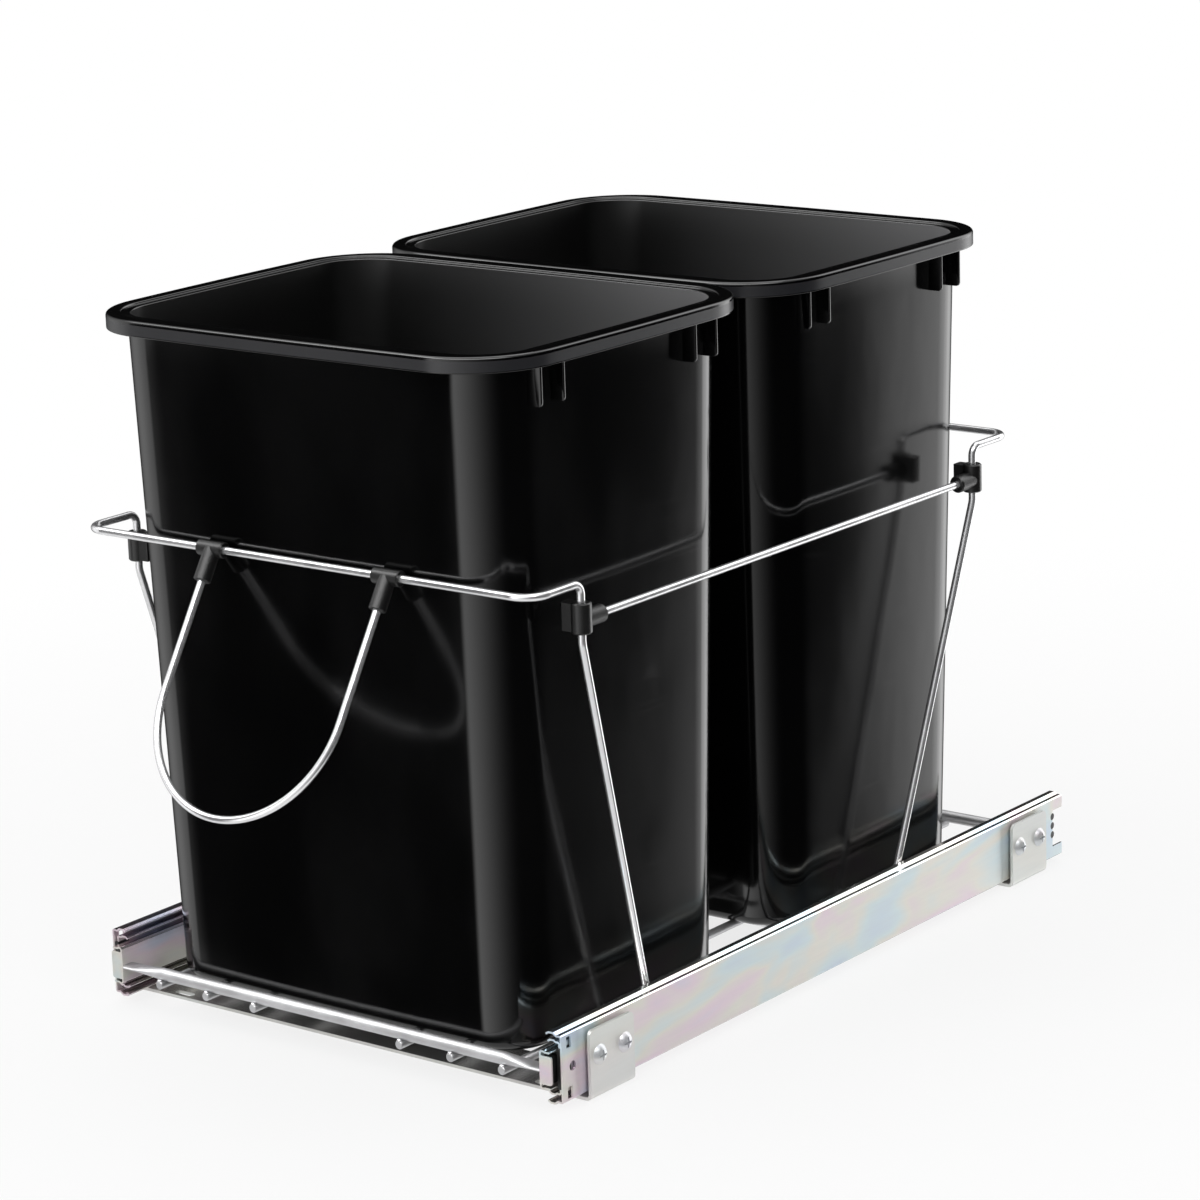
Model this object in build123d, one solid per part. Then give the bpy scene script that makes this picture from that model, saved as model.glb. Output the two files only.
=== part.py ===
"""Pull-out bin frame: two lift-out bins on a wire carriage that rolls out on ball slides.

Lengths are in mm. X is the width, Y runs from the front to the back and Z is up.
The pieces are drawn with Y = 0 at the front end of the fixed slide members and
Z = 0 under the straps, and are moved at the end so that the origin is bottom centre.
"""

import os
from math import cos, radians, sin, sqrt, tan

from build123d import *

# General
OVERRUN = 2.0
WELD_SINK = 0.5
SOCKET_PLAY = 0.05

# Slides: three nested members of bent sheet, closed in the stored pose
SLIDE_OUTSIDE = 361.0
SLIDE_LENGTH = 559.0
SLIDE_HEIGHT = 45.0
SLIDE_THICKNESS = 12.7
SHEET = 1.2
RACE_GAP = 3.9
BALL_PLAY = 0.3
WEB_GAP = 1.2
FRONT_RECESS = 1.5
INNER_LEAD = 5.5
TAB_WIDTH = 9.0
TAB_HEIGHT = 18.0
TAB_CORNER = 1.5

# Each lip bends inward from the end of its web: steps inward and up, with the ball race at the top
OUTER_LIP = ((0.6, 0.6), (3.4, 0.4), (5.6, 1.9), (8.8, 1.9), (10.4, 0.9))
MIDDLE_LIP = ((0.8, 0.7), (2.6, 0.5), (3.8, 1.4), (6.6, 1.4), (8.0, 0.5))
INNER_LIP = ((-1.0, 1.0), (-2.4, 1.0), (-3.4, 0.5), (-6.6, 0.5))

# Ball cages
BALLS_PER_ROW = 7
CAGE_LENGTH = 240.0
CAGE_START = 150.0
CAGE_SHEET = 0.5
OUTER_CAGE_STRIP = 8.2
INNER_CAGE_STRIP = 6.4
CAGE_WEB_GAP = 0.35
CAGE_HOLE_PLAY = 0.2
BALL_SHARE = 0.72
BALL_END_MARGIN = 12.0

# Holes at the ends of the fixed members
END_SLOT_SET = 6.8
END_SLOT_WIDTH = 4.5
END_SLOT_HEIGHT = 7.0
END_SLOT_OFFSET = 15.6
END_HOLE_SET = 10.0
END_HOLE_RADIUS = 3.0
NOTCH_DEPTH = 12.0
NOTCH_HEIGHT = 25.6
BUMPER_SET = 542.5
BUMPER_DEPTH = 6.5
BUMPER_HEIGHT = 24.0
BUMPER_STOP_GAP = 0.5
BUMPER_CORNER = 1.0
BUMPER_CLEARANCE = 0.3
OUTER_LIP_GAP = 1.7
NUB_RADIUS = 2.4
NUB_PLAY = 0.2
NUB_PITCH = 6.4
NUB_RISE = 2.0

# Release lever inside each inner member
LEVER_LENGTH = 34.0
LEVER_HEIGHT = 17.0
LEVER_WIDTH = 6.0
LEVER_SETBACK = 2.0
LEVER_NOSE = 5.0
LEVER_CORNER = 1.2

# Plastic stop clipped round the front of each middle member's web
STOP_LENGTH = 10.0
STOP_HEIGHT = 25.2
STOP_FRONT_SET = 0.3
STOP_CLEARANCE = 0.3
STOP_INSIDE = 0.5

# Straps under the slides
STRAP_THICKNESS = 2.0
STRAP_WIDTH = 43.0
STRAP_BEND = 4.0
STRAP_FLANGE_TOP = 44.0
STRAP_CORNER = 4.0
STRAP_STANDOFF = 2.2
SLIDE_LIFT = 1.25
FRONT_STRAP_SET = 42.9
REAR_STRAP_SET = 510.4
STRAP_SLOT_LENGTH = 15.0
STRAP_SLOT_WIDTH = 5.0
STRAP_SLOT_SPACING_X = 292.0
STRAP_SLOT_SPACING_Y = 32.0

# Screws and their spacer sleeves
SCREW_SPACING = 24.5
SCREW_HEIGHT = 27.0
SCREW_RADIUS = 2.5
SCREW_HOLE_PLAY = 0.1
HEAD_RADIUS = 6.3
HEAD_HEIGHT = 2.9
HEAD_SHOULDER_SHARE = 0.7
RECESS_LENGTH = 6.4
RECESS_WIDTH = 1.3
RECESS_DEPTH = 1.7
SLEEVE_RADIUS = 4.5

# Base of the carriage
BAR_RADIUS = 4.0
BAR_HEIGHT = 24.6
FRONT_BAR_SET = 0.0
REAR_BAR_SET = 535.7
BAR_FLAT_WIDTH = 11.4
BAR_FLAT_THICKNESS = 3.2
BAR_FLAT_LENGTH = 8.0
BAR_TAPER_LENGTH = 22.0
BASE_WIRE_RADIUS = 2.8
BASE_WIRE_SINK = 0.5
BASE_WIRE_OVERHANG = 4.6
BASE_WIRE_FIRST = 59.0
BASE_WIRE_PITCH = 39.5
BASE_WIRES_PER_SIDE = 3
WIRE_RADIUS = 2.4
CROSS_WIRE_SETS = (228.0, 307.5)
CROSS_WIRE_OVERHANG = 7.0

# Upper frame of the carriage
CARRIAGE_MIDDLE = 248.0
CLAMP_INSET = 5.1
CLAMP_SPACING_Y = 418.0
CLAMP_HEIGHT = 289.5
CLAMP_RADIUS = 6.2
CLAMP_BODY = 18.6
CLAMP_CHAMFER = 0.8
CLAMP_LUG_REACH = 12.0
CLAMP_LUG_WIDTH = 8.6
CLAMP_LUG_HEIGHT = 16.8
CLAMP_LUG_FILLET = 1.0
CLAMP_BOSS_RADIUS = 5.6
CLAMP_BOSS_REACH = 18.7
CLAMP_BOSS_DROP = 1.2
WIRE_END_GAP = 1.0
HOOP_HEIGHT = 310.0
HOOP_GAP = 3.2
HOOP_CORNER = 14.0
HOOP_RISER_BEND = 6.5
LEG_FOOT_INSET = 17.0
FRONT_LEG_LEAN = 72.5
REAR_LEG_LEAN = 89.5
LEG_NECK = 15.5
LEG_BEND = 12.0

# Handle
TEE_SPACING = 138.0
TEE_RADIUS = 5.0
TEE_LENGTH = 20.0
TEE_STEM_RADIUS = 5.3
TEE_STEM_REACH = 21.0
TEE_CHAMFER = 0.6
TEE_SOCKET_START = 8.0
BAIL_STRAIGHT = 91.0
BAIL_TILT = 32.0

# Bins
BIN_SPACING = 269.0
BIN_SEAT_GAP = 0.2
BIN_TOP = 447.0
BIN_WALL = 2.2
BIN_FLOOR = 2.6
BIN_BOTTOM_X = 143.5
BIN_BOTTOM_Y = 106.0
BIN_BOTTOM_CORNER = 31.0
BIN_BODY_TOP_X = 152.0
BIN_BODY_TOP_Y = 118.0
BIN_BODY_TOP_CORNER = 34.0
BIN_BODY_BOW = 1.8
BIN_BOTTOM_FILLET = 7.0
RIM_X = 165.8
RIM_Y = 134.0
RIM_CORNER = 53.0
RIM_BOW = 2.8
RIM_HEIGHT = 9.8
RIM_FILLET = 2.0
RIM_STEP_WIDTH = 6.0
RIM_STEP_DEPTH = 1.2
RIB_PLACES = (64.0, 85.0)
RIB_THICKNESS = 2.0
RIB_OUT = 160.5
RIB_LENGTH = 30.5
RIB_CORNER = 2.5
RIM_CUT_DROP = 4.0

# Heights and faces that several pieces share
SLIDE_BOTTOM = STRAP_THICKNESS + SLIDE_LIFT
SLIDE_MIDDLE = SLIDE_BOTTOM + SLIDE_HEIGHT / 2
SLIDE_FACE = SLIDE_OUTSIDE / 2
INNER_FACE = SLIDE_FACE - SLIDE_THICKNESS
OUTER_HALF = SLIDE_HEIGHT / 2
MIDDLE_HALF = OUTER_HALF - SHEET - RACE_GAP
INNER_HALF = MIDDLE_HALF - SHEET - RACE_GAP
MIDDLE_WEB = SHEET + WEB_GAP
MEMBER_END = BUMPER_SET - BUMPER_STOP_GAP
BALL_RADIUS = RACE_GAP / 2 - BALL_PLAY
STRAP_FACE = SLIDE_FACE + STRAP_STANDOFF + STRAP_THICKNESS
BASE_WIRE_HEIGHT = BAR_HEIGHT - BAR_RADIUS - BASE_WIRE_RADIUS + BASE_WIRE_SINK
LOW_WIRE_HEIGHT = BASE_WIRE_HEIGHT - BASE_WIRE_RADIUS - WIRE_RADIUS + WELD_SINK
BASE_WIRE_LAST = BASE_WIRE_FIRST + (BASE_WIRES_PER_SIDE - 1) * BASE_WIRE_PITCH
BIN_BOTTOM = BASE_WIRE_HEIGHT + BASE_WIRE_RADIUS + BIN_SEAT_GAP
RIB_TOP = BIN_TOP - BIN_WALL - RIM_STEP_DEPTH
RIM_CUT = RIB_TOP - RIB_LENGTH - RIM_CUT_DROP
CLAMP_X = SLIDE_FACE - CLAMP_INSET
CLAMP_Y = CLAMP_SPACING_Y / 2
LEG_FOOT_X = SLIDE_FACE - LEG_FOOT_INSET


def body_size(height):
    """Half width, half depth and corner radius of a bin's outside at one height."""
    share = (height - BIN_BOTTOM) / (BIN_TOP - BIN_BOTTOM)
    half_x = BIN_BOTTOM_X + (BIN_BODY_TOP_X - BIN_BOTTOM_X) * share
    half_y = BIN_BOTTOM_Y + (BIN_BODY_TOP_Y - BIN_BOTTOM_Y) * share
    corner = BIN_BOTTOM_CORNER + (BIN_BODY_TOP_CORNER - BIN_BOTTOM_CORNER) * share
    return half_x, half_y, corner


# The hoops stand clear of the bins, so their reach follows the bins
HOOP_RUN = BIN_SPACING / 2 + body_size(HOOP_HEIGHT)[1] + HOOP_GAP + WIRE_RADIUS
HOOP_FRONT = CARRIAGE_MIDDLE - HOOP_RUN
BAIL_REACH = BAIL_STRAIGHT + TEE_SPACING / 2
FRONT_END = HOOP_FRONT - BAIL_REACH * sin(radians(BAIL_TILT)) - WIRE_RADIUS
MIDDLE_Y = (FRONT_END + SLIDE_LENGTH) / 2


def rounded_path(points, bends):
    """Straight runs through the points, with a bend of its own radius at each inner point."""
    points = [Vector(*point) for point in points]
    edges = []
    start = points[0]
    for before, corner, after, bend in zip(points, points[1:], points[2:], bends):
        way_in = (corner - before).normalized()
        way_out = (after - corner).normalized()
        half_turn = radians(way_in.get_angle(way_out) / 2)
        first = corner - way_in * (bend * tan(half_turn))
        last = corner + way_out * (bend * tan(half_turn))
        crown = corner + (way_out - way_in).normalized() * (bend / cos(half_turn) - bend)
        edges.append(Edge.make_line(start, first))
        edges.append(Edge.make_three_point_arc(first, crown, last))
        start = last
    edges.append(Edge.make_line(start, points[-1]))
    return Wire(edges)


def round_wire(path, radius):
    """A wire of round section along a path."""
    section = Plane(origin=path.position_at(0), z_dir=path.tangent_at(0)) * Circle(radius)
    return sweep(section, path=path)


def rod(start, end, radius):
    """A straight rod between two points."""
    start, end = Vector(*start), Vector(*end)
    plane = Plane(origin=start, z_dir=end - start)
    return extrude(plane * Circle(radius), amount=(end - start).length)


def mirrored_x(shape):
    return mirror(shape, about=Plane.YZ)


def bent_strip(points, thickness):
    """Section of a sheet that is bent along the points, given as distance inward and height."""
    section = Sketch()
    for (u0, h0), (u1, h1) in zip(points, points[1:]):
        start, end = Vector(SLIDE_FACE - u0, h0), Vector(SLIDE_FACE - u1, h1)
        run = end - start
        slot = SlotCenterToCenter(run.length, thickness)
        angle = Vector(1, 0).get_signed_angle(run, Vector(0, 0, 1))
        section += Location((start + end) / 2) * Rot(Z=angle) * slot
    return section


def slide_member(web, half_height, lip, front, back):
    """The right-hand slide member with its web at one place and a bent lip at the top and bottom."""
    crown = max(rise for step, rise in lip)
    web_end = half_height - SHEET / 2 - crown
    upper = [(web, 0), (web, web_end)] + [(web + step, web_end + rise) for step, rise in lip]
    lower = [(u, -h) for u, h in reversed(upper[1:])]
    points = [(u, SLIDE_MIDDLE + h) for u, h in lower + upper]
    section = bent_strip(points, SHEET)
    return extrude(Plane.XZ.offset(-front) * section, amount=front - back)


def along_web(set_back, height):
    """Plane on the outside of the right-hand slide, looking inward, at a place along it."""
    return Plane(origin=(SLIDE_FACE, set_back, height), x_dir=(0, 1, 0), z_dir=(1, 0, 0))


def outer_member():
    member = slide_member(SHEET / 2, OUTER_HALF, OUTER_LIP, 0, SLIDE_LENGTH)
    reach = SHEET + OVERRUN
    for side in (-1, 1):
        plane = along_web(END_SLOT_SET, SLIDE_MIDDLE + side * END_SLOT_OFFSET)
        slot = plane * Rectangle(END_SLOT_WIDTH, END_SLOT_HEIGHT)
        member -= extrude(slot, amount=reach, both=True)
    hole = along_web(END_HOLE_SET, SLIDE_MIDDLE) * Circle(END_HOLE_RADIUS)
    member -= extrude(hole, amount=reach, both=True)
    notch = along_web(SLIDE_LENGTH, SLIDE_MIDDLE) * Rectangle(2 * NOTCH_DEPTH, NOTCH_HEIGHT)
    member -= extrude(notch, amount=reach, both=True)
    for height in nub_heights():
        scallop = along_web(SLIDE_LENGTH - NOTCH_DEPTH, height) * Circle(NUB_RADIUS + NUB_PLAY)
        member -= extrude(scallop, amount=reach, both=True)
    for set_back in screw_sets():
        hole = along_web(set_back, SCREW_HEIGHT) * Circle(SCREW_RADIUS + SCREW_HOLE_PLAY)
        member -= extrude(hole, amount=reach, both=True)
    return member


def middle_member():
    return slide_member(MIDDLE_WEB + SHEET / 2, MIDDLE_HALF, MIDDLE_LIP, FRONT_RECESS, MEMBER_END)


def inner_member():
    web = SLIDE_THICKNESS - SHEET / 2
    member = slide_member(web, INNER_HALF, INNER_LIP, -INNER_LEAD, MEMBER_END)
    tab = Box(TAB_WIDTH, SHEET, TAB_HEIGHT, align=(Align.MIN, Align.MIN, Align.CENTER))
    corners = tab.edges().filter_by(Axis.Y).group_by(Axis.X)[-1]
    tab = fillet(corners, TAB_CORNER)
    return member + Pos(INNER_FACE, -INNER_LEAD, SLIDE_MIDDLE) * tab


def race_place(outside):
    """Height of the balls above the slide's middle, place of the cage's web, and its strip's width."""
    if outside:
        return OUTER_HALF - SHEET - RACE_GAP / 2, SHEET + CAGE_WEB_GAP, OUTER_CAGE_STRIP
    return MIDDLE_HALF - SHEET - RACE_GAP / 2, MIDDLE_WEB + SHEET + CAGE_WEB_GAP, INNER_CAGE_STRIP


def ball_places(outside):
    """Centres of the two rows of balls in one pair of races."""
    height, web, strip = race_place(outside)
    x = SLIDE_FACE - web - strip * BALL_SHARE
    pitch = (CAGE_LENGTH - 2 * BALL_END_MARGIN) / (BALLS_PER_ROW - 1)
    first = CAGE_START + BALL_END_MARGIN
    return [(x, first + pitch * i, SLIDE_MIDDLE + side * height) for side in (-1, 1) for i in range(BALLS_PER_ROW)]


def cage(outside):
    """Sheet cage that keeps the two rows of balls apart in one pair of races."""
    height, web, strip = race_place(outside)
    align = (Align.MAX, Align.MIN, Align.CENTER)
    place = Pos(SLIDE_FACE - web, CAGE_START, SLIDE_MIDDLE)
    shape = place * Box(CAGE_SHEET, CAGE_LENGTH, 2 * height + CAGE_SHEET, align=align)
    for side in (-1, 1):
        shape += place * Pos(0, 0, side * height) * Box(strip, CAGE_LENGTH, CAGE_SHEET, align=align)
    hole = Cylinder(BALL_RADIUS + CAGE_HOLE_PLAY, OVERRUN)
    for centre in ball_places(outside):
        shape -= Pos(*centre) * hole
    return shape


def balls(outside):
    return Compound([Pos(*centre) * Sphere(BALL_RADIUS) for centre in ball_places(outside)])


def nub_heights():
    return [SLIDE_MIDDLE + NUB_RISE + step * NUB_PITCH for step in (-1, 0, 1)]


def rear_bumper():
    """Plastic stop behind the web at the back, with three nubs in the scallops of the web's notch."""
    near = SLIDE_FACE - SHEET - BUMPER_CLEARANCE
    far = INNER_FACE + OUTER_LIP_GAP
    block = Box(near - far, BUMPER_DEPTH, BUMPER_HEIGHT, align=(Align.MAX, Align.MIN, Align.CENTER))
    block = fillet(block.edges().filter_by(Axis.X), BUMPER_CORNER)
    bumper = Pos(near, BUMPER_SET, SLIDE_MIDDLE) * block
    for height in nub_heights():
        set_back = SLIDE_LENGTH - NOTCH_DEPTH
        bumper += rod((near, set_back, height), (SLIDE_FACE - BUMPER_CLEARANCE, set_back, height), NUB_RADIUS)
    return bumper


def release_lever():
    """Plastic lever that sits inside the front of the inner member."""
    align = (Align.MIN, Align.MIN, Align.CENTER)
    place = Pos(INNER_FACE + SHEET, -INNER_LEAD + SHEET + LEVER_SETBACK, SLIDE_MIDDLE)
    body = Box(LEVER_WIDTH, LEVER_LENGTH, LEVER_HEIGHT / 2, align=align)
    nose = Box(LEVER_WIDTH, LEVER_NOSE, LEVER_HEIGHT, align=align)
    lever = body + nose
    lever = fillet(lever.edges().filter_by(Axis.X), LEVER_CORNER)
    return place * lever


def front_stop():
    """Plastic clip round the front of the middle member's web."""
    align = (Align.MAX, Align.MIN, Align.CENTER)
    near = SHEET + STOP_CLEARANCE
    width = MIDDLE_WEB + SHEET + STOP_INSIDE - near
    clip = Box(width, STOP_LENGTH, STOP_HEIGHT, align=align)
    stop = Pos(SLIDE_FACE - near, STOP_FRONT_SET, SLIDE_MIDDLE) * clip
    web = Box(SHEET, STOP_LENGTH + OVERRUN, STOP_HEIGHT + OVERRUN, align=align)
    return stop - Pos(SLIDE_FACE - MIDDLE_WEB, FRONT_RECESS, SLIDE_MIDDLE) * web


def screw_sets():
    """Places along the slide of the screws that hold the straps."""
    return [strap + side * SCREW_SPACING / 2
            for strap in (FRONT_STRAP_SET, REAR_STRAP_SET)
            for side in (-1, 1)]


def strap(set_back):
    """Flat strap under both slides, with its ends bent up beside them."""
    half = STRAP_FACE
    outline = Pos(0, STRAP_FLANGE_TOP / 2) * Rectangle(2 * half, STRAP_FLANGE_TOP)
    outline = fillet(outline.vertices().group_by(Axis.Y)[0], STRAP_BEND)
    inside_height = STRAP_FLANGE_TOP - STRAP_THICKNESS + OVERRUN
    inside = Rectangle(2 * (half - STRAP_THICKNESS), inside_height)
    inside = Pos(0, STRAP_THICKNESS + inside_height / 2) * inside
    inside = fillet(inside.vertices().group_by(Axis.Y)[0], STRAP_BEND - STRAP_THICKNESS)
    section = Plane.XZ * (outline - inside)
    shape = Pos(0, set_back, 0) * extrude(section, amount=STRAP_WIDTH / 2, both=True)
    top = shape.edges().filter_by(Axis.X).group_by(Axis.Z)[-1]
    shape = fillet(top, STRAP_CORNER)
    slot = SlotOverall(STRAP_SLOT_LENGTH, STRAP_SLOT_WIDTH)
    for x in (-1, 1):
        for y in (-1, 1):
            place = Pos(x * STRAP_SLOT_SPACING_X / 2, set_back + y * STRAP_SLOT_SPACING_Y / 2)
            shape -= place * extrude(slot, amount=STRAP_THICKNESS + OVERRUN, both=True)
    hole = Rot(Y=90) * Cylinder(SCREW_RADIUS + SCREW_HOLE_PLAY, 2 * (STRAP_FACE + OVERRUN))
    for side in (-1, 1):
        shape -= Pos(0, set_back + side * SCREW_SPACING / 2, SCREW_HEIGHT) * hole
    return shape


def screw():
    """Round-head screw whose axis is X, with its seat at the origin and its head outward."""
    dome = Line((0, 0), (HEAD_RADIUS, 0))
    dome += ThreePointArc((HEAD_RADIUS, 0), (HEAD_RADIUS * HEAD_SHOULDER_SHARE, HEAD_HEIGHT * HEAD_SHOULDER_SHARE), (0, HEAD_HEIGHT))
    dome += Line((0, HEAD_HEIGHT), (0, 0))
    head = revolve(Plane.XZ * make_face(dome), axis=Axis.Z)
    shank = STRAP_THICKNESS + STRAP_STANDOFF + SHEET
    body = head + Cylinder(SCREW_RADIUS, shank, align=(Align.CENTER, Align.CENTER, Align.MAX))
    cut = Box(RECESS_LENGTH, RECESS_WIDTH, 2 * RECESS_DEPTH)
    body -= Pos(0, 0, HEAD_HEIGHT) * (cut + Rot(Z=90) * cut)
    return Rot(Y=90) * body


def strap_screws():
    seat = [Pos(STRAP_FACE, y, SCREW_HEIGHT) * screw() for y in screw_sets()]
    return Compound(seat + [mirrored_x(s) for s in seat])


def strap_sleeves():
    sleeves = []
    for y in screw_sets():
        sleeve = rod((SLIDE_FACE, y, SCREW_HEIGHT), (STRAP_FACE - STRAP_THICKNESS, y, SCREW_HEIGHT), SLEEVE_RADIUS)
        sleeve -= rod(
            (SLIDE_FACE - OVERRUN, y, SCREW_HEIGHT), (STRAP_FACE + OVERRUN, y, SCREW_HEIGHT),
            SCREW_RADIUS + SCREW_HOLE_PLAY)
        sleeves += [sleeve, mirrored_x(sleeve)]
    return Compound(sleeves)


def base_wire_places():
    places = [BASE_WIRE_FIRST + i * BASE_WIRE_PITCH for i in range(BASE_WIRES_PER_SIDE)]
    return [-x for x in reversed(places)] + places


def base_wires():
    """Long wires that carry the bins, welded under both crossbars."""
    start = FRONT_BAR_SET - BASE_WIRE_OVERHANG
    end = REAR_BAR_SET + BASE_WIRE_OVERHANG
    wires = []
    for x in base_wire_places():
        wire = rod((x, start, BASE_WIRE_HEIGHT), (x, end, BASE_WIRE_HEIGHT), BASE_WIRE_RADIUS)
        ends = wire.edges().filter_by(GeomType.CIRCLE)
        wires.append(chamfer(ends, WELD_SINK))
    return Compound(wires)


def crossbar(set_back):
    """Round bar between the inner members, flattened where it is welded to them."""
    flat_start = INNER_FACE - BAR_FLAT_LENGTH
    round_end = flat_start - BAR_TAPER_LENGTH
    bar = rod((0, set_back, BAR_HEIGHT), (round_end, set_back, BAR_HEIGHT), BAR_RADIUS)
    ring = Plane(origin=(round_end, set_back, BAR_HEIGHT), x_dir=(0, 1, 0), z_dir=(1, 0, 0))
    blade = Plane(origin=(flat_start, set_back, BAR_HEIGHT), x_dir=(0, 1, 0), z_dir=(1, 0, 0))
    flat = blade * Ellipse(BAR_FLAT_WIDTH / 2, BAR_FLAT_THICKNESS / 2)
    bar += loft([ring * Circle(BAR_RADIUS), flat])
    bar += extrude(flat, amount=BAR_FLAT_LENGTH)
    bar += mirrored_x(bar)
    for x in base_wire_places():
        start = (x, set_back - BAR_FLAT_WIDTH, BASE_WIRE_HEIGHT)
        bar -= rod(start, (x, set_back + BAR_FLAT_WIDTH, BASE_WIRE_HEIGHT), BASE_WIRE_RADIUS)
    return bar


def saddled(shape):
    """A low wire with a shallow seat where each base wire is welded on it."""
    for x in base_wire_places():
        start = (x, 0, BASE_WIRE_HEIGHT)
        shape -= rod(start, (x, SLIDE_LENGTH, BASE_WIRE_HEIGHT), BASE_WIRE_RADIUS)
    return shape


def cross_wire(set_back):
    half = BASE_WIRE_LAST + BASE_WIRE_RADIUS + CROSS_WIRE_OVERHANG
    return saddled(rod((-half, set_back, LOW_WIRE_HEIGHT), (half, set_back, LOW_WIRE_HEIGHT), WIRE_RADIUS))


def leg_wire(end, lean):
    """One wire that makes both legs at one end and passes under the base between them."""
    clamp = CARRIAGE_MIDDLE + end * CLAMP_Y
    foot = clamp - end * lean
    top = CLAMP_HEIGHT - WIRE_END_GAP
    neck = CLAMP_HEIGHT - LEG_NECK
    points = [
        (CLAMP_X, clamp, top),
        (CLAMP_X, clamp, neck),
        (LEG_FOOT_X, foot, LOW_WIRE_HEIGHT),
        (-LEG_FOOT_X, foot, LOW_WIRE_HEIGHT),
        (-CLAMP_X, clamp, neck),
        (-CLAMP_X, clamp, top),
    ]
    bends = (LEG_BEND, LEG_BEND, LEG_BEND, LEG_BEND)
    return saddled(round_wire(rounded_path(points, bends), WIRE_RADIUS))


def hoop(end):
    """Upper hoop round one end of the carriage, with both its ends turned down into the clamps."""
    clamp = CARRIAGE_MIDDLE + end * CLAMP_Y
    run = CARRIAGE_MIDDLE + end * HOOP_RUN
    low = CLAMP_HEIGHT + WIRE_END_GAP
    points = [
        (CLAMP_X, clamp, low),
        (CLAMP_X, clamp, HOOP_HEIGHT),
        (CLAMP_X, run, HOOP_HEIGHT),
        (-CLAMP_X, run, HOOP_HEIGHT),
        (-CLAMP_X, clamp, HOOP_HEIGHT),
        (-CLAMP_X, clamp, low),
    ]
    bends = (HOOP_RISER_BEND, HOOP_CORNER, HOOP_CORNER, HOOP_RISER_BEND)
    return round_wire(rounded_path(points, bends), WIRE_RADIUS)


def clamp(end):
    """Right-hand corner clamp that joins a leg, a hoop end and the side rail."""
    shape = Cylinder(CLAMP_RADIUS, CLAMP_BODY)
    shape = chamfer(shape.edges().filter_by(GeomType.CIRCLE), CLAMP_CHAMFER)
    lug = Box(CLAMP_LUG_REACH, CLAMP_LUG_WIDTH, CLAMP_LUG_HEIGHT, align=(Align.MAX, Align.CENTER, Align.CENTER))
    lug = fillet(lug.edges().filter_by(Axis.Z).group_by(Axis.X)[0], CLAMP_LUG_FILLET)
    shape += lug
    boss = rod((0, 0, -CLAMP_BOSS_DROP), (0, -end * CLAMP_BOSS_REACH, -CLAMP_BOSS_DROP), CLAMP_BOSS_RADIUS)
    rims = boss.edges().filter_by(GeomType.CIRCLE)
    shape += chamfer(rims, CLAMP_CHAMFER)
    bore = WIRE_RADIUS + SOCKET_PLAY
    shape -= Cylinder(bore, CLAMP_BODY + 2 * OVERRUN)
    socket = (0, -end * CLAMP_RADIUS, -CLAMP_BOSS_DROP)
    shape -= rod(socket, (0, -end * (CLAMP_BOSS_REACH + OVERRUN), -CLAMP_BOSS_DROP), bore)
    return Pos(CLAMP_X, CARRIAGE_MIDDLE + end * CLAMP_Y, CLAMP_HEIGHT) * shape


def side_rail():
    height = CLAMP_HEIGHT - CLAMP_BOSS_DROP
    half = CLAMP_Y - CLAMP_RADIUS
    return rod((CLAMP_X, CARRIAGE_MIDDLE - half, height), (CLAMP_X, CARRIAGE_MIDDLE + half, height), WIRE_RADIUS)


def on_handle(shape):
    """Tilt a handle piece about the hoop's front run and put it there."""
    return Pos(0, HOOP_FRONT, HOOP_HEIGHT) * Rot(X=-BAIL_TILT) * shape


def tee(side):
    """Tee that turns on the hoop and holds one end of the bail."""
    barrel = Rot(Y=90) * Cylinder(TEE_RADIUS, TEE_LENGTH)
    barrel = chamfer(barrel.edges().filter_by(GeomType.CIRCLE), TEE_CHAMFER)
    stem = rod((0, 0, 0), (0, 0, -TEE_STEM_REACH), TEE_STEM_RADIUS)
    stem = chamfer(stem.edges().filter_by(GeomType.CIRCLE).group_by(Axis.Z)[0], TEE_CHAMFER)
    shape = barrel + stem
    bore = WIRE_RADIUS + SOCKET_PLAY
    shape -= Rot(Y=90) * Cylinder(bore, TEE_LENGTH + OVERRUN)
    shape -= rod((0, 0, -TEE_SOCKET_START), (0, 0, -TEE_STEM_REACH - OVERRUN), bore)
    return on_handle(Pos(side * TEE_SPACING / 2, 0, 0) * shape)


def bail():
    """U-shaped pull of the same wire as the hoop."""
    half = TEE_SPACING / 2
    path = Wire([
        Edge.make_line((-half, 0, -TEE_SOCKET_START), (-half, 0, -BAIL_STRAIGHT)),
        Edge.make_three_point_arc((-half, 0, -BAIL_STRAIGHT), (0, 0, -BAIL_REACH), (half, 0, -BAIL_STRAIGHT)),
        Edge.make_line((half, 0, -BAIL_STRAIGHT), (half, 0, -TEE_SOCKET_START)),
    ])
    return on_handle(round_wire(path, WIRE_RADIUS))


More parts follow.
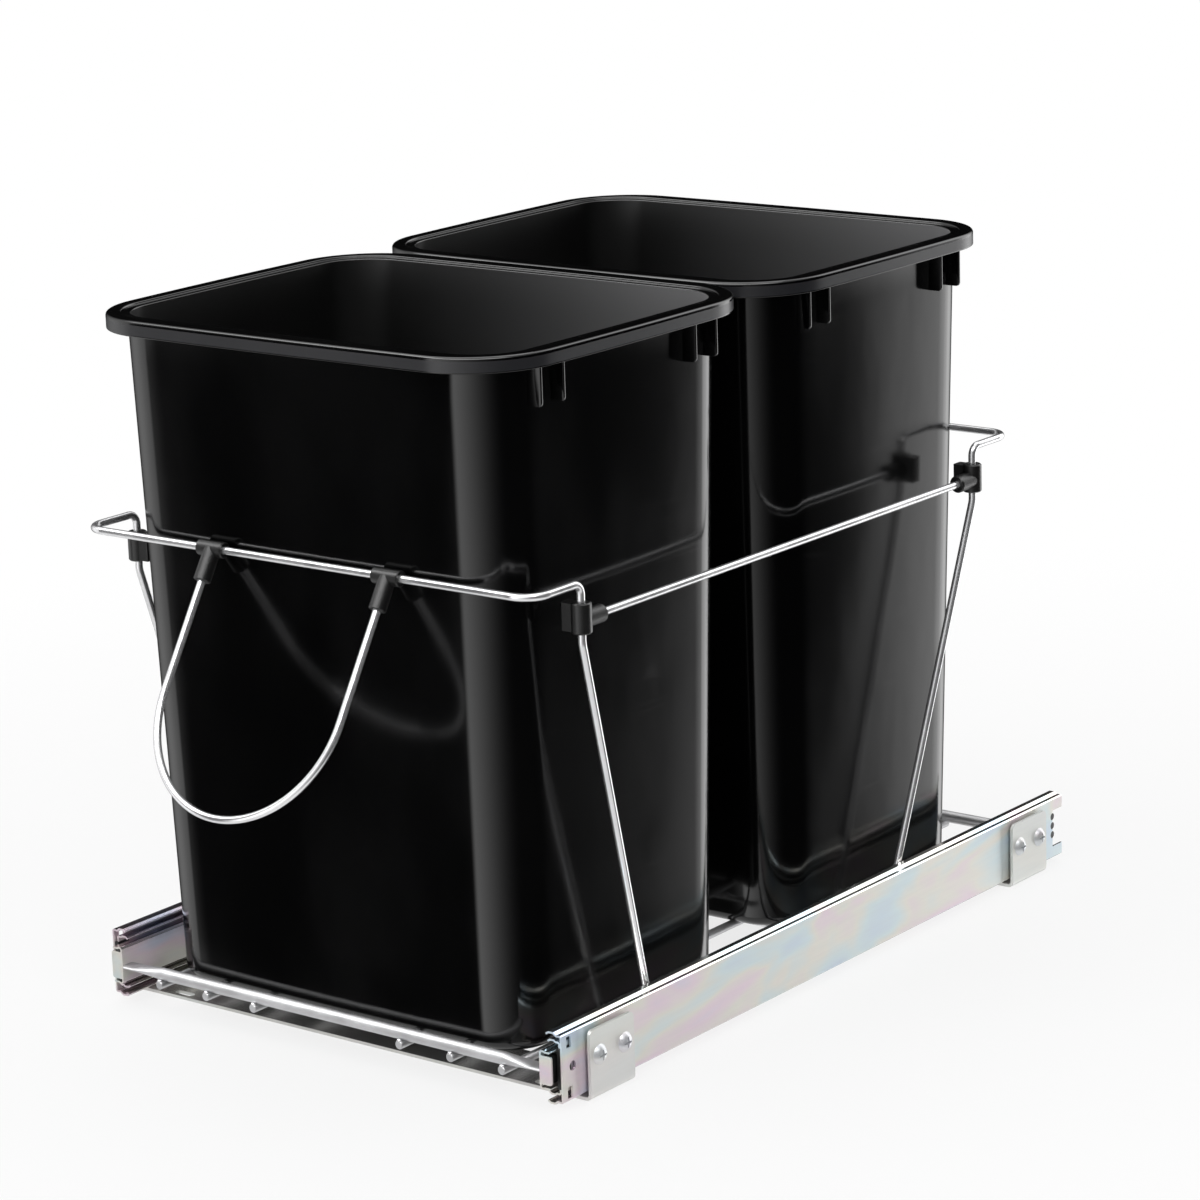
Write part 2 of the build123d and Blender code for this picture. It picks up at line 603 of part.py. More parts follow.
def bowed_outline(half_x, half_y, corner, bow, height):
    """Rounded rectangle at one height whose sides bow out, tangent all round."""
    radius_x = (half_y**2 + bow**2) / (2 * bow)
    radius_y = (half_x**2 + bow**2) / (2 * bow)
    centre_x, centre_y = half_x - radius_x, half_y - radius_y
    # The corner circle touches both side circles from within
    reach_x, reach_y = radius_x - corner, radius_y - corner
    apart = sqrt(centre_x**2 + centre_y**2)
    along = (reach_x**2 - reach_y**2 + apart**2) / (2 * apart)
    across = sqrt(reach_x**2 - along**2)
    unit_x, unit_y = -centre_x / apart, centre_y / apart
    corner_x = centre_x + along * unit_x - across * unit_y
    corner_y = along * unit_y + across * unit_x
    side_x = Vector(corner_x - centre_x, corner_y).normalized()
    side_y = Vector(corner_x, corner_y - centre_y).normalized()
    middle = Vector(corner_x, corner_y) + (side_x + side_y).normalized() * corner
    touch_x = Vector(centre_x, 0) + side_x * radius_x
    touch_y = Vector(0, centre_y) + side_y * radius_y

    def at(point, mx, my):
        return Vector(point.X * mx, point.Y * my, height)

    edges = [
        Edge.make_three_point_arc(at(touch_x, 1, -1), Vector(half_x, 0, height), at(touch_x, 1, 1)),
        Edge.make_three_point_arc(at(touch_x, 1, 1), at(middle, 1, 1), at(touch_y, 1, 1)),
        Edge.make_three_point_arc(at(touch_y, 1, 1), Vector(0, half_y, height), at(touch_y, -1, 1)),
        Edge.make_three_point_arc(at(touch_y, -1, 1), at(middle, -1, 1), at(touch_x, -1, 1)),
        Edge.make_three_point_arc(at(touch_x, -1, 1), Vector(-half_x, 0, height), at(touch_x, -1, -1)),
        Edge.make_three_point_arc(at(touch_x, -1, -1), at(middle, -1, -1), at(touch_y, -1, -1)),
        Edge.make_three_point_arc(at(touch_y, -1, -1), Vector(0, -half_y, height), at(touch_y, 1, -1)),
        Edge.make_three_point_arc(at(touch_y, 1, -1), at(middle, 1, -1), at(touch_x, 1, -1)),
    ]
    return Face(Wire(edges))


def body_section(height, inset):
    half_x, half_y, corner = body_size(height)
    return bowed_outline(half_x - inset, half_y - inset, corner - inset, BIN_BODY_BOW, height)


def tapered_body(low, high, inset, edge):
    """The bin's tapered shape between two heights, rounded along its lower edge."""
    shape = loft([body_section(low, inset), body_section(high, inset)], ruled=True)
    return fillet(shape.edges().group_by(Axis.Z)[0], edge)


def rim_outline(inset, height):
    return bowed_outline(RIM_X - inset, RIM_Y - inset, RIM_CORNER - inset, RIM_BOW, height)


def one_bin():
    """Tapered bin with an open, turned-down rim and pairs of ribs on its short sides."""
    rim_low = BIN_TOP - RIM_HEIGHT
    rim = extrude(rim_outline(0, rim_low), amount=RIM_HEIGHT)
    rim = fillet(rim.edges().group_by(Axis.Z)[-1], RIM_FILLET)
    under = rim_outline(BIN_WALL, rim_low - OVERRUN)
    rim -= extrude(under, amount=RIM_HEIGHT - BIN_WALL - RIM_STEP_DEPTH + OVERRUN)
    shape = rim + tapered_body(BIN_BOTTOM, BIN_TOP - RIM_STEP_DEPTH, 0, BIN_BOTTOM_FILLET)
    rib_root = body_size(BIN_TOP - RIB_LENGTH)[0] - BIN_WALL
    rib = Box(RIB_OUT - rib_root, RIB_THICKNESS, RIB_LENGTH, align=(Align.MIN, Align.CENTER, Align.MAX))
    outer_corner = rib.edges().filter_by(Axis.Y).group_by(Axis.Z)[0].sort_by(Axis.X)[-1]
    rib = fillet(outer_corner, RIB_CORNER)
    for place in RIB_PLACES:
        for y in (-place, place):
            right = Pos(rib_root, y, RIB_TOP) * rib
            shape += right
            shape += mirrored_x(right)
    inner_x, inner_y, inner_corner = body_size(BIN_TOP)
    step = bowed_outline(
        inner_x - BIN_WALL + RIM_STEP_WIDTH, inner_y - BIN_WALL + RIM_STEP_WIDTH,
        inner_corner - BIN_WALL + RIM_STEP_WIDTH, BIN_BODY_BOW, BIN_TOP - RIM_STEP_DEPTH)
    shape -= extrude(step, amount=RIM_STEP_DEPTH + OVERRUN)
    cavity_edge = BIN_BOTTOM_FILLET - BIN_WALL
    shape -= tapered_body(BIN_BOTTOM + BIN_FLOOR, BIN_TOP + OVERRUN, BIN_WALL, cavity_edge)
    return shape


def bin_pieces(name, end):
    """One bin as its tapered body and its rim, which meet in a plane just below the ribs."""
    whole = Pos(0, CARRIAGE_MIDDLE + end * BIN_SPACING / 2, 0) * one_bin()
    cut = Plane.XY.offset(RIM_CUT)
    return {
        name: split(whole, bisect_by=cut, keep=Keep.BOTTOM),
        name + "_rim": split(whole, bisect_by=cut, keep=Keep.TOP),
    }


def all_parts():
    parts = {
        "front_strap": strap(FRONT_STRAP_SET),
        "rear_strap": strap(REAR_STRAP_SET),
        "strap_sleeves": strap_sleeves(),
        "strap_screws": strap_screws(),
        "front_crossbar": crossbar(FRONT_BAR_SET),
        "rear_crossbar": crossbar(REAR_BAR_SET),
        "base_wires": base_wires(),
        "front_cross_wire": cross_wire(CROSS_WIRE_SETS[0]),
        "rear_cross_wire": cross_wire(CROSS_WIRE_SETS[1]),
        "front_leg_wire": leg_wire(-1, FRONT_LEG_LEAN),
        "rear_leg_wire": leg_wire(1, REAR_LEG_LEAN),
        "front_hoop": hoop(-1),
        "rear_hoop": hoop(1),
        "handle_bail": bail(),
        "handle_tee_left": tee(-1),
        "handle_tee_right": tee(1),
        **bin_pieces("front_bin", -1),
        **bin_pieces("rear_bin", 1),
    }
    pairs = {
        "outer_member": outer_member(),
        "rear_bumper": rear_bumper(),
        "outer_cage": cage(True),
        "outer_balls": balls(True),
        "middle_member": middle_member(),
        "front_stop": front_stop(),
        "inner_cage": cage(False),
        "inner_balls": balls(False),
        "inner_member": inner_member(),
        "release_lever": release_lever(),
        "side_rail": side_rail(),
        "front_clamp": clamp(-1),
        "rear_clamp": clamp(1),
    }
    for name, shape in pairs.items():
        parts[name + "_right"] = shape
        parts[name + "_left"] = mirrored_x(shape)
    return parts


os.makedirs("parts", exist_ok=True)
for name, shape in all_parts().items():
    export_step(Pos(0, -MIDDLE_Y, 0) * shape, f"parts/{name}.step")
    box = shape.bounding_box()
    print(name, len(shape.solids()), [round(v, 1) for v in (*box.min, *box.max)])
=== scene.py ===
# %% [markdown]
# The scene of a pull-out bin frame.
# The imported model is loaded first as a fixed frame: every length below is in metres and in its place.
# Where a solid already has the right shape it stays and only gets a finish. Where gloss would show
# its flat facets, or where small edges matter, a finer mesh takes its place.

# %% Load the fixed frame
import math

import bmesh
import bpy
from mathutils import Matrix, Vector, noise


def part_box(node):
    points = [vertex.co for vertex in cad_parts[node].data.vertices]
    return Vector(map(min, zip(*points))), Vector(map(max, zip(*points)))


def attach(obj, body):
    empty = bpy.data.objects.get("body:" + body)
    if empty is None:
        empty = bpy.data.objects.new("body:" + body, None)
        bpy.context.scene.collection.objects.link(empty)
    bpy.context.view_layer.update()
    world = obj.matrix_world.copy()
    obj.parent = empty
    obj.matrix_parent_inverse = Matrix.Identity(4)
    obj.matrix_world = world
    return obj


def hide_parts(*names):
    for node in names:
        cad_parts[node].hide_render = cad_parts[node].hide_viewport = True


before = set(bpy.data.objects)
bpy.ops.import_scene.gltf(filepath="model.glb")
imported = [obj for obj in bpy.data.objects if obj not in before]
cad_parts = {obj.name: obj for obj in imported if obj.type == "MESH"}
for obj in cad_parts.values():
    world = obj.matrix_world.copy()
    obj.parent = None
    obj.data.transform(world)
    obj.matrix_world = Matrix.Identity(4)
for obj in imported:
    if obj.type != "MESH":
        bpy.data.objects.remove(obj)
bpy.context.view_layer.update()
MM = 0.001

# %% [markdown]
# The camera stands where the photographer's long lens stood: to the right of the front, a little above,
# and far away, so that parallel edges hardly close up. A small roll comes from the tripod.
# The view is built from three angles and a distance, because those are what a photographer sets.

# %% Camera
VIEW_YAW = math.radians(37.85)
VIEW_PITCH = math.radians(14.37)
VIEW_ROLL = math.radians(1.86)
VIEW_DISTANCE = 2.6785
VIEW_CENTRE = Vector((-0.0015, 0.05175, 0.22207))
LENS_MM = 123.5
SENSOR_MM = 36.0


def add_camera():
    flat = math.cos(VIEW_PITCH)
    ahead = Vector((-math.sin(VIEW_YAW) * flat, math.cos(VIEW_YAW) * flat, -math.sin(VIEW_PITCH)))
    level = Vector((math.cos(VIEW_YAW), math.sin(VIEW_YAW), 0))
    down = ahead.cross(level)
    right = math.cos(VIEW_ROLL) * level + math.sin(VIEW_ROLL) * down
    up = -(math.cos(VIEW_ROLL) * down - math.sin(VIEW_ROLL) * level)
    data = bpy.data.cameras.new("photo_camera")
    data.lens = LENS_MM
    data.sensor_width = SENSOR_MM
    camera = bpy.data.objects.new("photo_camera", data)
    turn = Matrix((right, up, -ahead)).transposed().to_4x4()
    camera.matrix_world = Matrix.Translation(VIEW_CENTRE - VIEW_DISTANCE * ahead) @ turn
    bpy.context.scene.collection.objects.link(camera)
    bpy.context.scene.camera = camera
    return camera


camera = add_camera()
print("camera at", [round(v, 3) for v in camera.location])

# %% [markdown]
# A shader is a chain of small nodes. These helpers add one node, set its plain values and wire it up,
# so that each material below reads as a list of what its surface does.

# %% Node helpers


def add_node(tree, kind, values=None, **settings):
    """Adds a node, sets its properties, and sets or links its inputs by name or number."""
    node = tree.nodes.new(kind)
    for name, value in settings.items():
        setattr(node, name, value)
    for name, value in (values or {}).items():
        socket = node.inputs[name]
        if isinstance(value, bpy.types.NodeSocket):
            tree.links.new(value, socket)
        else:
            socket.default_value = value
    return node


def maths(tree, operation, first, second=0.0, clamp=False):
    node = add_node(tree, "ShaderNodeMath", {0: first, 1: second}, operation=operation, use_clamp=clamp)
    return node.outputs[0]


def ramp_between(tree, value, start, end, low=0.0, high=1.0):
    """Goes smoothly from low at start to high at end."""
    values = {"Value": value, "From Min": start, "From Max": end, "To Min": low, "To Max": high}
    return add_node(tree, "ShaderNodeMapRange", values, interpolation_type="SMOOTHSTEP").outputs["Result"]


def product(tree, first, second):
    return maths(tree, "MULTIPLY", first, second)


def mixed(tree, amount, first, second, blend="MIX"):
    values = {0: amount, 6: first, 7: second}
    return add_node(tree, "ShaderNodeMix", values, data_type="RGBA", blend_type=blend).outputs[2]


def colour(red, green, blue):
    return (red, green, blue, 1.0)


def grey(value):
    return colour(value, value, value)


def axis(tree, vector, letter):
    """One of the three numbers of a vector."""
    return add_node(tree, "ShaderNodeSeparateXYZ", {0: vector}).outputs[letter]


# %% [markdown]
# Gloss black plastic and chrome have hardly any colour of their own, so the studio round them is most
# of what one sees. The camera itself sees a white background. A reflection sees dark cards round the
# sides with soft lit gaps between them, an open white part high above and far below, and a bright strip
# high up in front: that is how black gloss goods are photographed. The gaps make the long soft
# highlights on the corners of the bins, and the strip makes the thin bright lines on rounded edges.
# Turns are in radians, from the front towards the right or from the back towards the left. Heights are
# the upward share of a direction, from -1 straight down to 1 straight up.

# %% Studio round the object
WHITE = grey(1.0)
FILL_LEVEL = 0.62
CARD_LEVEL = 0.004
RIGHT_GAP = {"edge": (-0.61, -0.43), "fade": (1.45, -0.75), "power": 1.5, "level": 2.0}
LEFT_GAP = {"edge": (-0.83, -0.95), "fade": (-2.2, -1.2), "power": 1.0, "level": 1.2}
BACK_GAP = {"edge": (-0.61, -0.45), "fade": (0.35, -0.25), "power": 1.0, "level": 2.8}
GAP_FOOT = (-0.62, -0.48)
OPEN_ABOVE = (0.45, 0.75)
OPEN_BELOW = (-0.42, -0.62)
BELOW_LEVEL = 0.9
STRIP_LOWER, STRIP_UPPER = (0.60, 0.66), (0.88, 0.82)
STRIP_FRONT = (-0.05, 0.3)
STRIP_LEVEL = 6.5


def lit_gap(tree, turn, gap):
    """A gap beside a card: a short soft edge, a long fade and a level."""
    near = ramp_between(tree, turn, *gap["edge"])
    far = maths(tree, "POWER", ramp_between(tree, turn, *gap["fade"]), gap["power"])
    return product(tree, product(tree, near, far), gap["level"])


def build_world():
    world = bpy.data.worlds.new("studio")
    bpy.context.scene.world = world
    world.use_nodes = True
    tree = world.node_tree
    tree.nodes.clear()
    way = add_node(tree, "ShaderNodeTexCoord").outputs["Generated"]
    parts = add_node(tree, "ShaderNodeSeparateXYZ", {0: way}).outputs
    to_front = product(tree, parts["Y"], -1.0)
    to_left = product(tree, parts["X"], -1.0)
    from_front = maths(tree, "ARCTAN2", parts["X"], to_front)
    from_back = maths(tree, "ARCTAN2", to_left, parts["Y"])
    height = parts["Z"]
    gaps = maths(tree, "ADD", lit_gap(tree, from_front, RIGHT_GAP), lit_gap(tree, from_front, LEFT_GAP))
    gaps = maths(tree, "ADD", gaps, lit_gap(tree, from_back, BACK_GAP))
    gaps = product(tree, gaps, ramp_between(tree, height, *GAP_FOOT))
    gaps = maths(tree, "ADD", gaps, CARD_LEVEL)
    above = ramp_between(tree, height, *OPEN_ABOVE)
    below = product(tree, ramp_between(tree, height, *OPEN_BELOW), BELOW_LEVEL)
    strip = product(tree, ramp_between(tree, height, *STRIP_LOWER), ramp_between(tree, height, *STRIP_UPPER))
    strip = product(tree, strip, ramp_between(tree, to_front, *STRIP_FRONT))
    open_part = maths(tree, "MAXIMUM", above, below)
    open_part = maths(tree, "ADD", open_part, product(tree, strip, STRIP_LEVEL))
    reflected = maths(tree, "MAXIMUM", gaps, open_part)
    ray = add_node(tree, "ShaderNodeLightPath").outputs
    shiny = maths(tree, "MAXIMUM", ray["Is Glossy Ray"], ray["Is Transmission Ray"])
    level = add_node(tree, "ShaderNodeMix", {0: shiny, 2: FILL_LEVEL, 3: reflected}).outputs[0]
    level = add_node(tree, "ShaderNodeMix", {0: ray["Is Camera Ray"], 2: level, 3: 1.0}).outputs[0]
    background = add_node(tree, "ShaderNodeBackground", {"Color": WHITE, "Strength": level})
    add_node(tree, "ShaderNodeOutputWorld", {"Surface": background.outputs[0]})
    return world


build_world()
print("world", bpy.context.scene.world.name)

# %% [markdown]
# A few large lamps give the soft shadows. They are area lamps, because a big lit sheet near the object
# is what a softbox is. The lamps at the sides stay out of the reflections, where the lit gaps of the
# studio stand for them. The top lamp may be reflected.

# %% Lamps
LOOK_AT = Vector((0.0, 0.0, 0.18))
# Name, place, width and height in metres, and power in watts
LAMPS = (
    ("top_softbox", (-0.3, 0.2, 2.2), (1.8, 1.8), 15.0),
    ("right_softbox", (2.1, -0.6, 1.0), (1.2, 1.4), 14.0),
    ("front_softbox", (-0.7, -2.2, 1.3), (1.4, 1.0), 14.0),
)


def add_lamp(name, place, size, power):
    data = bpy.data.lights.new(name, "AREA")
    data.shape = "RECTANGLE"
    data.size, data.size_y = size
    data.energy = power
    lamp = bpy.data.objects.new(name, data)
    lamp.location = place
    lamp.rotation_euler = (LOOK_AT - Vector(place)).to_track_quat("-Z", "Y").to_euler()
    bpy.context.scene.collection.objects.link(lamp)
    return lamp


lamps = [add_lamp(*row) for row in LAMPS]
for lamp in lamps[1:]:
    lamp.visible_glossy = False
print(len(lamps), "lamps")

# %% [markdown]
# The floor is a pale sheet that reaches far past the view. Close to the object it keeps the soft
# shadow, faintly, because most of its white is its own glow. Further out the glow takes over fully, so
# that no horizon shows. It stays out of the reflections, where the open part below stands for it.

# %% Floor
FLOOR_HALF = 8.0
FLOOR_DROP = 0.0003
FLOOR_LIFT = 0.8
FLOOR_TONES = (grey(0.84), grey(0.86))
SHADOW_END, GLOW_START = 0.42, 1.2


def pale_floor_material():
    material = bpy.data.materials.new("pale_floor")
    material.use_nodes = True
    tree = material.node_tree
    tree.nodes.clear()
    place = add_node(tree, "ShaderNodeTexCoord").outputs["Object"]
    grain = add_node(tree, "ShaderNodeTexNoise", {"Vector": place, "Scale": 40.0, "Detail": 3.0})
    tone = mixed(tree, grain.outputs[0], *FLOOR_TONES)
    sheet = add_node(tree, "ShaderNodeBsdfPrincipled", {"Base Color": tone, "Roughness": 0.8})
    distance = add_node(tree, "ShaderNodeVectorMath", {0: place}, operation="LENGTH").outputs["Value"]
    far = ramp_between(tree, distance, SHADOW_END, GLOW_START, FLOOR_LIFT, 1.0)
    ray = add_node(tree, "ShaderNodeLightPath").outputs
    seen = maths(tree, "MAXIMUM", ray["Is Camera Ray"], ray["Is Glossy Ray"])
    seen = maths(tree, "MAXIMUM", seen, ray["Is Transmission Ray"])
    glow = add_node(tree, "ShaderNodeEmission", {"Color": WHITE, "Strength": 1.0})
    share = product(tree, seen, far)
    both = add_node(tree, "ShaderNodeMixShader", {0: share, 1: sheet.outputs[0], 2: glow.outputs[0]})
    add_node(tree, "ShaderNodeOutputMaterial", {"Surface": both.outputs[0]})
    return material


def add_floor():
    mesh = bpy.data.meshes.new("floor")
    signs = ((-1, -1), (1, -1), (1, 1), (-1, 1))
    corners = [(x * FLOOR_HALF, y * FLOOR_HALF, -FLOOR_DROP) for x, y in signs]
    mesh.from_pydata(corners, [], [(0, 1, 2, 3)])
    mesh.materials.append(pale_floor_material())
    floor = bpy.data.objects.new("floor", mesh)
    bpy.context.scene.collection.objects.link(floor)
    floor.visible_glossy = False
    return floor


add_floor()
print("floor", 2 * FLOOR_HALF, "m square")

# %% [markdown]
# Real surfaces are never quite even. This group gives a soft cloudy mask and a fine one, both between
# 0 and 1. Every material uses it with its own scales, for its roughness, its colour and its small bumps.

# %% Group: uneven surface


def new_group(name, inputs, outputs):
    """An empty shader group with named inputs, given as name, kind and value, and named outputs."""
    group = bpy.data.node_groups.new(name, "ShaderNodeTree")
    for label, kind, value in inputs:
        group.interface.new_socket(label, in_out="INPUT", socket_type=kind).default_value = value
    for label, kind in outputs:
        group.interface.new_socket(label, in_out="OUTPUT", socket_type=kind)
    start = group.nodes.new("NodeGroupInput").outputs
    end = group.nodes.new("NodeGroupOutput").inputs
    return group, start, end


def build_uneven_group():
    group, given, out = new_group(
        "uneven_surface",
        [("Cloud Scale", "NodeSocketFloat", 12.0), ("Grain Scale", "NodeSocketFloat", 900.0),
         ("Stretch", "NodeSocketVector", (1.0, 1.0, 1.0))],
        [("Cloud", "NodeSocketFloat"), ("Grain", "NodeSocketFloat")])
    place = add_node(group, "ShaderNodeTexCoord").outputs["Object"]
    factors = {0: place, 1: given["Stretch"]}
    stretched = add_node(group, "ShaderNodeVectorMath", factors, operation="MULTIPLY").outputs[0]
    cloud = add_node(group, "ShaderNodeTexNoise", {
        "Vector": stretched, "Scale": given["Cloud Scale"], "Detail": 4.0, "Roughness": 0.55})
    grain = add_node(group, "ShaderNodeTexNoise", {
        "Vector": stretched, "Scale": given["Grain Scale"], "Detail": 2.0})
    group.links.new(ramp_between(group, cloud.outputs[0], 0.3, 0.7), out["Cloud"])
    group.links.new(grain.outputs[0], out["Grain"])
    return group


uneven_group = build_uneven_group()
print("group", uneven_group.name)

# %% [markdown]
# Handling leaves hairline scratches. They are thin crossing lines in two directions, kept only in
# patches. They show where a light is reflected, so the mask is meant for the roughness. Cells that are
# squeezed long and thin have such lines as their borders.

# %% Group: hairline scratches
SCRATCH_TURNS = (0.5, 1.9)
SCRATCH_SQUEEZES = (0.04, 0.03)
SCRATCH_TILT_SHARE = 0.7
SCRATCH_WIDTH = 0.012
WORN_PATCHES = (0.5, 0.62)


def build_scratch_group():
    group, given, out = new_group(
        "hairline_scratches",
        [("Scale", "NodeSocketFloat", 30.0), ("Amount", "NodeSocketFloat", 0.5)],
        [("Scratches", "NodeSocketFloat")])
    place = add_node(group, "ShaderNodeTexCoord").outputs["Object"]
    lines = []
    for turn, squeeze in zip(SCRATCH_TURNS, SCRATCH_SQUEEZES):
        turns = (turn, turn * SCRATCH_TILT_SHARE, turn)
        turned = add_node(group, "ShaderNodeMapping", {
            "Vector": place, "Rotation": turns, "Scale": (1.0, squeeze, 1.0)})
        cells = add_node(group, "ShaderNodeTexVoronoi", {
            "Vector": turned.outputs[0], "Scale": given["Scale"]}, feature="DISTANCE_TO_EDGE")
        lines.append(ramp_between(group, cells.outputs["Distance"], SCRATCH_WIDTH, 0.0))
    patches = add_node(group, "ShaderNodeTexNoise", {"Vector": place, "Scale": 14.0, "Detail": 2.0})
    kept = ramp_between(group, patches.outputs[0], *WORN_PATCHES)
    worn = product(group, maths(group, "MAXIMUM", *lines), kept)
    group.links.new(product(group, worn, given["Amount"]), out["Scratches"])
    return group


scratch_group = build_scratch_group()
print("group", scratch_group.name)

# %% [markdown]
# Zinc plating with a clear passivation film shows faint rainbow clouds: pale blue, cream, pink and
# lilac, drawn out along the sheet. The group gives that tint for a base metal colour, weak or strong.

# %% Group: plating tint
FILM_COLOURS = (
    (0.28, colour(0.66, 0.80, 1.00)),
    (0.40, colour(0.80, 0.96, 0.98)),
    (0.48, colour(0.98, 0.95, 0.84)),
    (0.56, colour(1.00, 0.80, 0.90)),
    (0.66, colour(0.76, 0.80, 1.00)),
)
FILM_SHIFT = (0.0, 0.37, 0.1)
FILM_STRETCH = (1.0, -0.6, 1.6)


def build_tint_group():
    group, given, out = new_group(
        "plating_tint",
        [("Metal", "NodeSocketColor", grey(0.7)), ("Strength", "NodeSocketFloat", 0.5),
         ("Cloud Scale", "NodeSocketFloat", 9.0)],
        [("Color", "NodeSocketColor")])
    place = add_node(group, "ShaderNodeTexCoord").outputs["Object"]
    drawn = add_node(group, "ShaderNodeMapping", {
        "Vector": place, "Location": FILM_SHIFT, "Scale": FILM_STRETCH})
    cloud = add_node(group, "ShaderNodeTexNoise", {
        "Vector": drawn.outputs[0], "Scale": given["Cloud Scale"], "Detail": 2.5, "Distortion": 0.4})
    film = add_node(group, "ShaderNodeValToRGB", {"Fac": cloud.outputs[0]})
    stops = film.color_ramp.elements
    stops[0].position, stops[0].color = FILM_COLOURS[0]
    stops[1].position, stops[1].color = FILM_COLOURS[-1]
    for position, tone in FILM_COLOURS[1:-1]:
        stops.new(position).color = tone
    tinted = mixed(group, 1.0, given["Metal"], film.outputs[0], "MULTIPLY")
    group.links.new(mixed(group, given["Strength"], given["Metal"], tinted), out["Color"])
    return group


tint_group = build_tint_group()
print("group", tint_group.name)

# %% [markdown]
# A material is one Principled shader with a few groups feeding it. One helper makes the empty material,
# another places a group in it with its values, and two more add what most surfaces have: a roughness
# that wanders a little, with duller scratches, and fine bumps.

# %% Material helpers


def new_material(name):
    material = bpy.data.materials.new(name)
    material.use_nodes = True
    tree = material.node_tree
    tree.nodes.clear()
    skin = tree.nodes.new("ShaderNodeBsdfPrincipled")
    add_node(tree, "ShaderNodeOutputMaterial", {"Surface": skin.outputs[0]})
    return material, tree, skin


def skin_of(material):
    return next(node for node in material.node_tree.nodes if node.bl_idname == "ShaderNodeBsdfPrincipled")


def place_group(tree, group, **values):
    node = tree.nodes.new("ShaderNodeGroup")
    node.node_tree = group
    for label, value in values.items():
        socket = node.inputs[label.replace("_", " ")]
        if isinstance(value, bpy.types.NodeSocket):
            tree.links.new(value, socket)
        else:
            socket.default_value = value
    return node.outputs


def set_roughness(tree, skin, mask, smooth, dull, scratches=None, dulling=0.0):
    """Goes from smooth to dull with the mask, and is duller by up to the given amount on scratches."""
    rough = ramp_between(tree, mask, 0.0, 1.0, smooth, dull)
    if scratches:
        rough = maths(tree, "ADD", rough, product(tree, scratches, dulling))
    tree.links.new(rough, skin.inputs["Roughness"])


def set_bump(tree, skin, height, depth):
    bump = add_node(tree, "ShaderNodeBump", {"Height": height, "Distance": depth, "Strength": 1.0})
    tree.links.new(bump.outputs[0], skin.inputs["Normal"])


# %% [markdown]
# The bins are injection-moulded in black with a polished tool. Such plastic is smooth to the touch but
# slightly wavy, because it shrinks as it cools, so the reflections wander a little. Fine scratches and
# a trace of dull haze keep it from looking like glass. The turned-down band of the rim is satin. The
# inside is duller too. Its paler right side is painted light: a base colour that goes from near black
# on the left to pale grey on the right, slowly at first, stands in for the light that falls in there.

# %% Material: gloss black bin plastic
WAVE_DEPTH = 0.05 * MM
WAVE_STRETCH = (1.0, 1.0, 0.45)
WAVE_DULLING = 0.055
# Painted light inside the bins: half the width over which the paler colour grows, and how slowly it starts
PAINTED_LIGHT_HALF = 150.0 * MM
PAINTED_LIGHT_POWER = 2.2


def bin_plastic(name, tone_low, tone_high, roughness):
    material, tree, skin = new_material(name)
    surface = place_group(tree, uneven_group, Cloud_Scale=7.0, Grain_Scale=1400.0, Stretch=WAVE_STRETCH)
    marks = place_group(tree, scratch_group, Scale=26.0, Amount=0.2)
    tree.links.new(mixed(tree, surface["Cloud"], tone_low, tone_high), skin.inputs["Base Color"])
    dull = roughness + WAVE_DULLING
    set_roughness(tree, skin, surface["Cloud"], roughness, dull, marks["Scratches"], dulling=0.1)
    set_bump(tree, skin, surface["Cloud"], WAVE_DEPTH)
    skin.inputs["IOR"].default_value = 1.5
    return material


def add_painted_light_gradient(material, clear, painted_lit):
    """Paints light into the base colour: from clear on the left to paler on the right, slowly at first."""
    tree = material.node_tree
    across = axis(tree, add_node(tree, "ShaderNodeTexCoord").outputs["Object"], "X")
    share = maths(tree, "DIVIDE", maths(tree, "ADD", across, PAINTED_LIGHT_HALF), 2 * PAINTED_LIGHT_HALF, clamp=True)
    share = maths(tree, "POWER", share, PAINTED_LIGHT_POWER)
    tree.links.new(mixed(tree, share, clear, painted_lit), skin_of(material).inputs["Base Color"])


bin_material = bin_plastic(
    "gloss_bin_plastic", colour(0.0008, 0.0008, 0.0009), colour(0.0016, 0.0016, 0.0017), roughness=0.1)
rim_material = bin_plastic(
    "satin_bin_rim", colour(0.012, 0.012, 0.014), colour(0.016, 0.016, 0.018), roughness=0.3)
inside_material = bin_plastic("dull_bin_inside_with_painted_light", grey(0.006), grey(0.006), roughness=0.32)
# Painted light: the inside's base colour turns pale grey towards the right, where light falls in
add_painted_light_gradient(inside_material, clear=grey(0.002), painted_lit=colour(0.19, 0.19, 0.193))
print("materials", bin_material.name, rim_material.name, inside_material.name)

# %% [markdown]
# The clamps, the tees and the slides' small stops are a duller black nylon. Its tool is lightly textured,
# so the bumps are fine and the highlights short and soft.

# %% Material: satin black nylon
NYLON_GRAIN = 0.06 * MM


def satin_nylon(name, tone_low, tone_high, roughness):
    material, tree, skin = new_material(name)
    surface = place_group(tree, uneven_group, Cloud_Scale=60.0, Grain_Scale=2600.0)
    tree.links.new(mixed(tree, surface["Cloud"], grey(tone_low), grey(tone_high)), skin.inputs["Base Color"])
    grain = ramp_between(tree, surface["Grain"], 0.2, 0.8, roughness - 0.05, roughness + 0.07)
    tree.links.new(grain, skin.inputs["Roughness"])
    set_bump(tree, skin, surface["Grain"], NYLON_GRAIN)
    return material


clamp_material = satin_nylon("satin_clamp_nylon", tone_low=0.004, tone_high=0.008, roughness=0.3)
stop_material = satin_nylon("slide_stop_nylon", tone_low=0.006, tone_high=0.012, roughness=0.38)
print("materials", clamp_material.name, stop_material.name)

# %% [markdown]
# Bright chrome plate on drawn wire. The drawing die leaves marks that run along the wire and the plating
# follows them, so the mirror is faintly uneven. The colour is a touch cold. The bars and wires of the
# base have the same plate in a greyer, duller state.

# %% Material: chrome wire
PLATE_UNEVENNESS = 0.06 * MM


